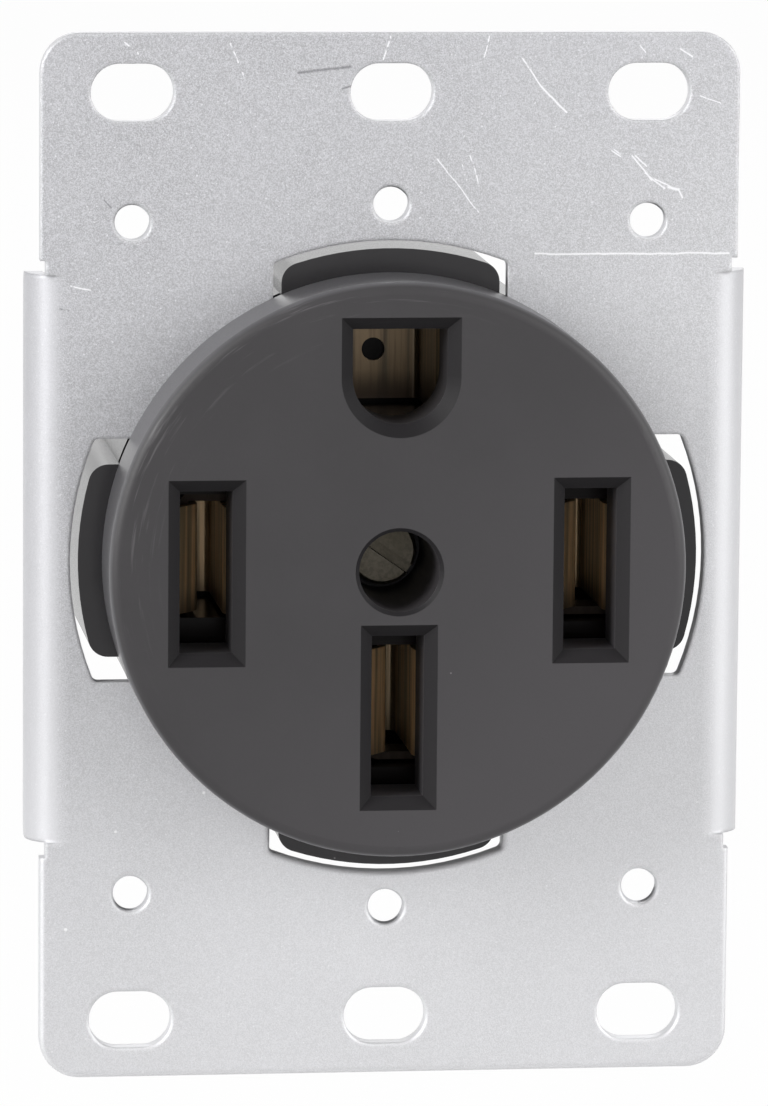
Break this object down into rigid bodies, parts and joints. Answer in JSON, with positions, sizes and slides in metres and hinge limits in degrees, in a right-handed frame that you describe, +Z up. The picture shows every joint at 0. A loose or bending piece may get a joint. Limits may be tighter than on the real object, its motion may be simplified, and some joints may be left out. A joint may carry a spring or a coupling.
{
  "type": "four prong receptacle",
  "caption": "Round flush power outlet for a large plug, with three straight slots and a ground slot, on a pressed steel mounting strap with side flanges.",
  "frame": {"origin": "centre of the four box slots, on the strap's rear face", "axes": "+Z up with the ground slot on top, -Y out of the wall towards the viewer, +Y into the wall box"},
  "size_m": [0.0646, 0.0391, 0.094],
  "materials": {
    "cover_plastic": "matte moulded",
    "body_plastic": "satin moulded",
    "galvanised_steel": "galvanised",
    "contact_brass": "rolled",
    "lug_brass": "machined",
    "spring_steel": "tempered",
    "zinc_screw": "yellow zinc",
    "terminal_steel": "zinc plated"
  },
  "bodies": {
    "root": {"front_cover": "cover_plastic", "strap": "galvanised_steel", "rear_body": "body_plastic", "line_x_contact": "contact_brass", "line_y_contact": "contact_brass", "neutral_contact": "contact_brass", "ground_contact": "contact_brass", "bonding_strip": "contact_brass", "bonding_rivet": "lug_brass", "centre_screw": "zinc_screw", "centre_nut": "zinc_screw", "neutral_spring_clip": "spring_steel", "neutral_lug": "lug_brass", "neutral_clamp_plate": "zinc_screw", "neutral_terminal_screw": "terminal_steel", "line_x_spring_clip": "spring_steel", "line_x_lug": "lug_brass", "line_x_clamp_plate": "zinc_screw", "line_x_terminal_screw": "terminal_steel", "ground_spring_clip": "spring_steel", "ground_lug": "lug_brass", "ground_clamp_plate": "zinc_screw", "ground_terminal_screw": "terminal_steel", "line_y_spring_clip": "spring_steel", "line_y_lug": "lug_brass", "line_y_clamp_plate": "zinc_screw", "line_y_terminal_screw": "terminal_steel"}
  },
  "joints": []
}
